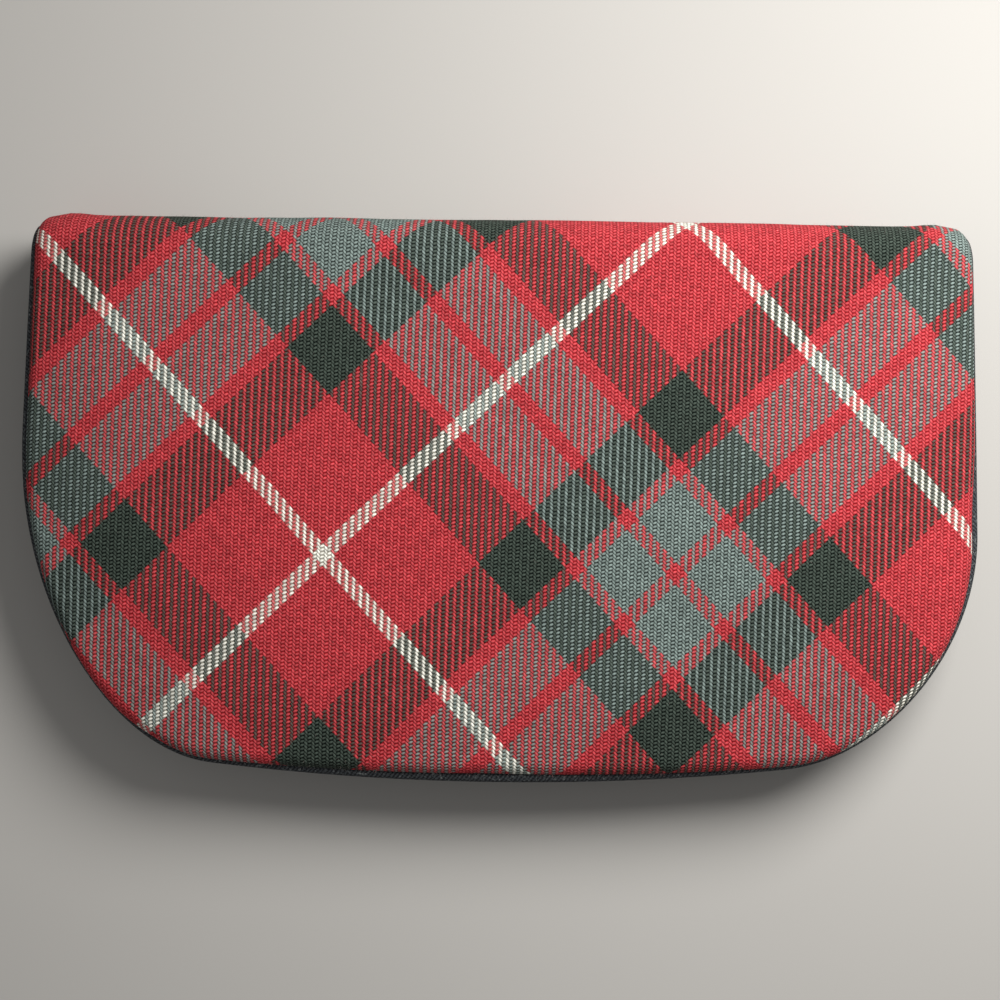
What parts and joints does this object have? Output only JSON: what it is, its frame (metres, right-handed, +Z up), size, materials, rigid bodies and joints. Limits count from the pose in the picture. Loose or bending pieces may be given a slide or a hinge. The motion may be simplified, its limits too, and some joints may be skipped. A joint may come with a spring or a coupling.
{
  "type": "clutch bag",
  "caption": "Flat flap clutch bag in tartan wool with a D-shaped padded flap, dark piping, a lined inner compartment and a hidden magnetic snap.",
  "frame": {"origin": "on the resting face, below the middle of the bag as it lies on its back", "axes": "+X across the bag, +Y from the rounded end to the top fold, +Z up from the back panel to the flap"},
  "size_m": [0.22, 0.13, 0.0248],
  "materials": {
    "tartan": "tartan wool twill, matt with short fuzz",
    "piping": "dark grey-black grained leatherette over cord",
    "leatherette": "black grained leatherette, satin",
    "satin": "black satin lining",
    "board": "grey stiffening board, hidden",
    "foam": "off-white foam wadding, hidden",
    "nickel": "polished nickel",
    "magnet": "dark sintered magnet"
  },
  "bodies": {
    "pouch": {"back_shell": "tartan", "back_board": "board", "back_lining": "satin", "back_piping": "piping", "gusset_shell": "leatherette", "gusset_lining": "satin", "front_shell": "leatherette", "front_board": "board", "front_lining": "satin", "front_piping": "piping", "mouth_binding": "leatherette", "slip_pocket": "satin", "slip_pocket_hem": "leatherette", "snap_socket": "nickel", "snap_magnet": "magnet", "snap_socket_plate": "nickel"},
    "spine": {"spine_shell": "tartan", "spine_padding": "foam", "spine_lining": "satin", "spine_piping_left": "piping", "spine_piping_right": "piping"},
    "flap": {"flap_shell": "tartan", "flap_padding": "foam", "flap_board": "board", "flap_lining": "satin", "flap_piping": "piping", "snap_stud": "nickel", "snap_stud_plate": "nickel"}
  },
  "joints": [
    {"name": "spine_fold", "type": "hinge", "parent": "pouch", "child": "spine", "pos_m": [0, 0.06324, 0.00176], "axis": [-1, 0, 0], "range_deg": [0, 90]},
    {"name": "flap_fold", "type": "hinge", "parent": "spine", "child": "flap", "pos_m": [0, 0.06236, 0.02216], "axis": [-1, 0, 0], "range_deg": [0, 90]}
  ]
}
